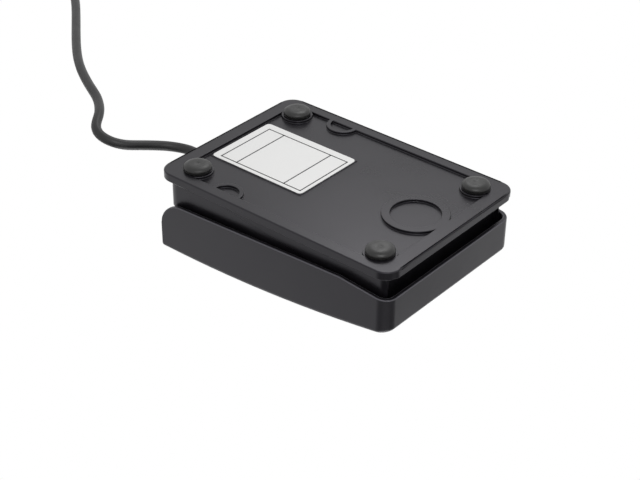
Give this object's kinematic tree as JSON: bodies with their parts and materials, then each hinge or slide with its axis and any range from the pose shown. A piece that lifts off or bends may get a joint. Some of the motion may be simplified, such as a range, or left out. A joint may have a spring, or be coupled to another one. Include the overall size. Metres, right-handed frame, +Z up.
{
  "type": "sewing machine pedal",
  "caption": "Small flat foot pedal for a sewing or quilting machine: rocking tread on a flanged base with rubber feet, sprung switch inside, thin cord with a plug, wound in a coil.",
  "frame": {"origin": "on the floor under the middle of the pedal, cord left out", "axes": "+Z up with the rubber feet down, +Y towards the rear where the cord leaves, +X to the right of a user whose toes point along +Y"},
  "size_m": [0.0843, 0.3103, 0.0343],
  "materials": {
    "black_plastic": "fine textured black ABS",
    "foot_rubber": "smooth black rubber",
    "label_white": "white polyester label, bare",
    "steel": "zinc plated steel",
    "board_green": "green solder mask",
    "chip_black": "black epoxy",
    "can_steel": "drawn metal can",
    "can_blue": "dark blue sleeve",
    "switch_black": "glass filled plastic",
    "plunger_red": "red acetal",
    "brass_plated": "plated brass",
    "header_cream": "cream nylon",
    "wire_sleeve": "black, green, white and red insulation",
    "cord_black": "soft black PVC jacket",
    "plug_black": "moulded black PVC",
    "shell_steel": "nickel plated steel",
    "tongue_white": "white plastic"
  },
  "bodies": {
    "base": {"base_housing": "black_plastic", "hinge_pin": "steel", "return_spring": "steel", "rubber_foot_front_left": "foot_rubber", "rubber_foot_front_right": "foot_rubber", "rubber_foot_rear_left": "foot_rubber", "rubber_foot_rear_right": "foot_rubber", "label": "label_white", "stop_bumpers": "foot_rubber", "pcb": "board_green", "pcb_screws": "steel", "controller_chip": "chip_black", "crystal": "can_steel", "capacitor": "can_blue", "switch_body": "switch_black", "switch_terminals": "brass_plated", "board_header": "header_cream", "wire_plug": "header_cream", "lead_wires": "wire_sleeve", "cable_tail": "cord_black", "cable_clamp": "black_plastic", "clamp_screws": "steel", "strain_relief": "foot_rubber", "cord_run": "cord_black", "cord_coil": "cord_black", "cord_lead": "cord_black", "coil_tie": "foot_rubber", "plug_body": "plug_black", "plug_shell": "shell_steel", "plug_tongue": "tongue_white", "plug_contacts": "brass_plated"},
    "tread": {"pedal_cover": "black_plastic"},
    "plunger": {"switch_plunger": "plunger_red"}
  },
  "joints": [
    {"name": "pedal_hinge", "type": "hinge", "parent": "base", "child": "tread", "pos_m": [0, -0.022, 0.0154], "axis": [-1, 0, 0], "range_deg": [0, 4], "stiffness_Nm_per_rad": 1.5, "springref_deg": -5.73, "deforming": ["return_spring"]},
    {"name": "plunger_slide", "type": "slide", "parent": "base", "child": "plunger", "axis": [0, 0, -1], "range_m": [0, 0.0013], "stiffness_N_per_m": 10, "springref_m": -0.001}
  ],
  "couplings": [
    {"joint": "plunger_slide", "follows": "pedal_hinge", "m_per_rad": 0.018}
  ]
}
